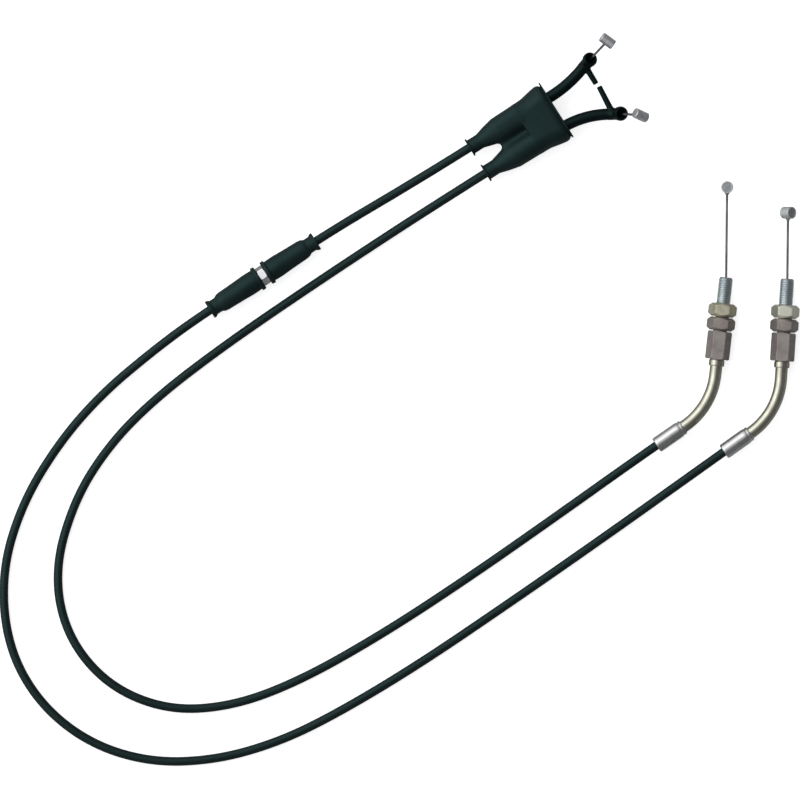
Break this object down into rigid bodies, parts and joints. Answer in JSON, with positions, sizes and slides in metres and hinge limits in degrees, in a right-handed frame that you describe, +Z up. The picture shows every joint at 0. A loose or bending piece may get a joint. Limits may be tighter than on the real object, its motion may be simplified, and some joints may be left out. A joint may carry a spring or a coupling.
{
  "type": "motorcycle throttle cable set",
  "caption": "Push-pull motorcycle throttle cable set with a Y-shaped dust boot, moulded elbows, an inline adjuster, bent guide tubes and threaded carburettor ends.",
  "frame": {"origin": "on the surface that the set lies on, under the middle of the box round its fittings, boots and adjuster, without the free cables", "axes": "+Z up from the surface; +X from the inline adjuster towards the carburettor ends; +Y from the cable loops towards the grip end"},
  "size_m": [0.4504, 0.4121, 0.0356],
  "materials": {
    "boot_rubber": "matte black moulded rubber",
    "elbow_plastic": "satin black moulding",
    "cable_jacket": "satin black extruded jacket",
    "conduit_steel": "flat-wound spring steel",
    "liner_polymer": "smooth low-friction polymer",
    "wire_strand": "stranded galvanised steel",
    "grip_nipple_zinc": "cast zinc alloy",
    "carb_nipple_zinc": "cast zinc alloy",
    "end_cap_steel": "pressed steel",
    "adjuster_zinc": "bright zinc plate",
    "ferrule_nickel": "bright nickel plate",
    "tube_nickel": "yellowish nickel plate",
    "barrel_steel": "dull plated steel",
    "nut_bright": "bright zinc plate",
    "nut_pale": "pale yellow zinc plate",
    "nut_dull": "dull plated steel"
  },
  "bodies": {
    "cable_set": {"pull_elbow": "elbow_plastic", "return_elbow": "elbow_plastic", "pull_grip_ferrule": "end_cap_steel", "return_grip_ferrule": "end_cap_steel", "pull_upper_jacket": "cable_jacket", "pull_upper_conduit": "conduit_steel", "pull_upper_liner": "liner_polymer", "adjuster_screw": "adjuster_zinc", "adjuster_ferrule_upper": "end_cap_steel", "pull_inner_wire": "wire_strand", "return_inner_wire": "wire_strand", "return_jacket": "cable_jacket", "return_conduit": "conduit_steel", "return_liner": "liner_polymer", "return_carb_ferrule": "ferrule_nickel", "return_guide_tube": "tube_nickel", "return_threaded_barrel": "barrel_steel"},
    "pull_lower_run": {"adjuster_sleeve": "adjuster_zinc", "adjuster_ferrule_lower": "end_cap_steel", "pull_lower_jacket": "cable_jacket", "pull_lower_conduit": "conduit_steel", "pull_lower_liner": "liner_polymer", "pull_carb_ferrule": "ferrule_nickel", "pull_guide_tube": "tube_nickel", "pull_threaded_barrel": "barrel_steel"},
    "dust_boot": {"dust_boot": "boot_rubber"},
    "adjuster_boot_upper": {"adjuster_boot_upper": "boot_rubber"},
    "adjuster_boot_lower": {"adjuster_boot_lower": "boot_rubber"},
    "adjuster_locknut": {"adjuster_locknut": "adjuster_zinc"},
    "pull_grip_end": {"pull_grip_wire": "wire_strand", "pull_grip_nipple": "grip_nipple_zinc"},
    "return_grip_end": {"return_grip_wire": "wire_strand", "return_grip_nipple": "grip_nipple_zinc"},
    "pull_carb_end": {"pull_carb_wire": "wire_strand", "pull_carb_nipple": "carb_nipple_zinc"},
    "return_carb_end": {"return_carb_wire": "wire_strand", "return_carb_nipple": "carb_nipple_zinc"},
    "pull_nut_upper": {"pull_nut_upper": "nut_bright"},
    "pull_nut_lower": {"pull_nut_lower": "nut_dull"},
    "return_nut_upper": {"return_nut_upper": "nut_pale"},
    "return_nut_lower": {"return_nut_lower": "nut_dull"}
  },
  "joints": [
    {"name": "dust_boot_slide", "type": "slide", "parent": "cable_set", "child": "dust_boot", "axis": [-0.8453, -0.5344, 0], "range_m": [0, 0.014]},
    {"name": "pull_grip_wire_slide", "type": "slide", "parent": "cable_set", "child": "pull_grip_end", "axis": [0.4858, 0.5138, 0.7071], "range_m": [-0.003, 0.033], "deforming": ["pull_inner_wire"]},
    {"name": "pull_carb_wire_slide", "type": "slide", "parent": "pull_lower_run", "child": "pull_carb_end", "axis": [-0.0105, -0.9999, 0], "range_m": [-0.003, 0.033], "deforming": ["pull_carb_wire"]},
    {"name": "return_grip_wire_slide", "type": "slide", "parent": "cable_set", "child": "return_grip_end", "axis": [0.5199, -0.0519, 0.8526], "range_m": [-0.003, 0.038], "deforming": ["return_inner_wire"]},
    {"name": "return_carb_wire_slide", "type": "slide", "parent": "cable_set", "child": "return_carb_end", "axis": [-0.0105, -0.9999, 0], "range_m": [-0.003, 0.038], "deforming": ["return_carb_wire"]},
    {"name": "adjuster_slide", "type": "slide", "parent": "cable_set", "child": "pull_lower_run", "axis": [-0.8387, -0.5446, 0], "range_m": [0, 0.008], "deforming": ["pull_inner_wire"]},
    {"name": "adjuster_locknut_slide", "type": "slide", "parent": "cable_set", "child": "adjuster_locknut", "axis": [0.8387, 0.5446, 0], "range_m": [0, 0.0015]},
    {"name": "adjuster_boot_upper_slide", "type": "slide", "parent": "cable_set", "child": "adjuster_boot_upper", "axis": [0.8387, 0.5446, 0], "range_m": [0, 0.011]},
    {"name": "adjuster_boot_lower_slide", "type": "slide", "parent": "pull_lower_run", "child": "adjuster_boot_lower", "axis": [-0.8387, -0.5446, 0], "range_m": [0, 0.011]},
    {"name": "pull_nut_upper_slide", "type": "slide", "parent": "pull_lower_run", "child": "pull_nut_upper", "axis": [0.0645, 0.9979, 0], "range_m": [0, 0.012]},
    {"name": "pull_nut_lower_slide", "type": "slide", "parent": "pull_lower_run", "child": "pull_nut_lower", "axis": [0.0645, 0.9979, 0], "range_m": [0, 0.006]},
    {"name": "return_nut_upper_slide", "type": "slide", "parent": "cable_set", "child": "return_nut_upper", "axis": [0.1115, 0.9938, 0], "range_m": [0, 0.012]},
    {"name": "return_nut_lower_slide", "type": "slide", "parent": "cable_set", "child": "return_nut_lower", "axis": [0.1115, 0.9938, 0], "range_m": [0, 0.006]}
  ],
  "couplings": [
    {"joint": "pull_carb_wire_slide", "follows": "pull_grip_wire_slide", "ratio": 1},
    {"joint": "return_carb_wire_slide", "follows": "return_grip_wire_slide", "ratio": 1},
    {"joint": "pull_nut_lower_slide", "follows": "pull_nut_upper_slide", "ratio": 0.5},
    {"joint": "return_nut_lower_slide", "follows": "return_nut_upper_slide", "ratio": 0.5}
  ]
}
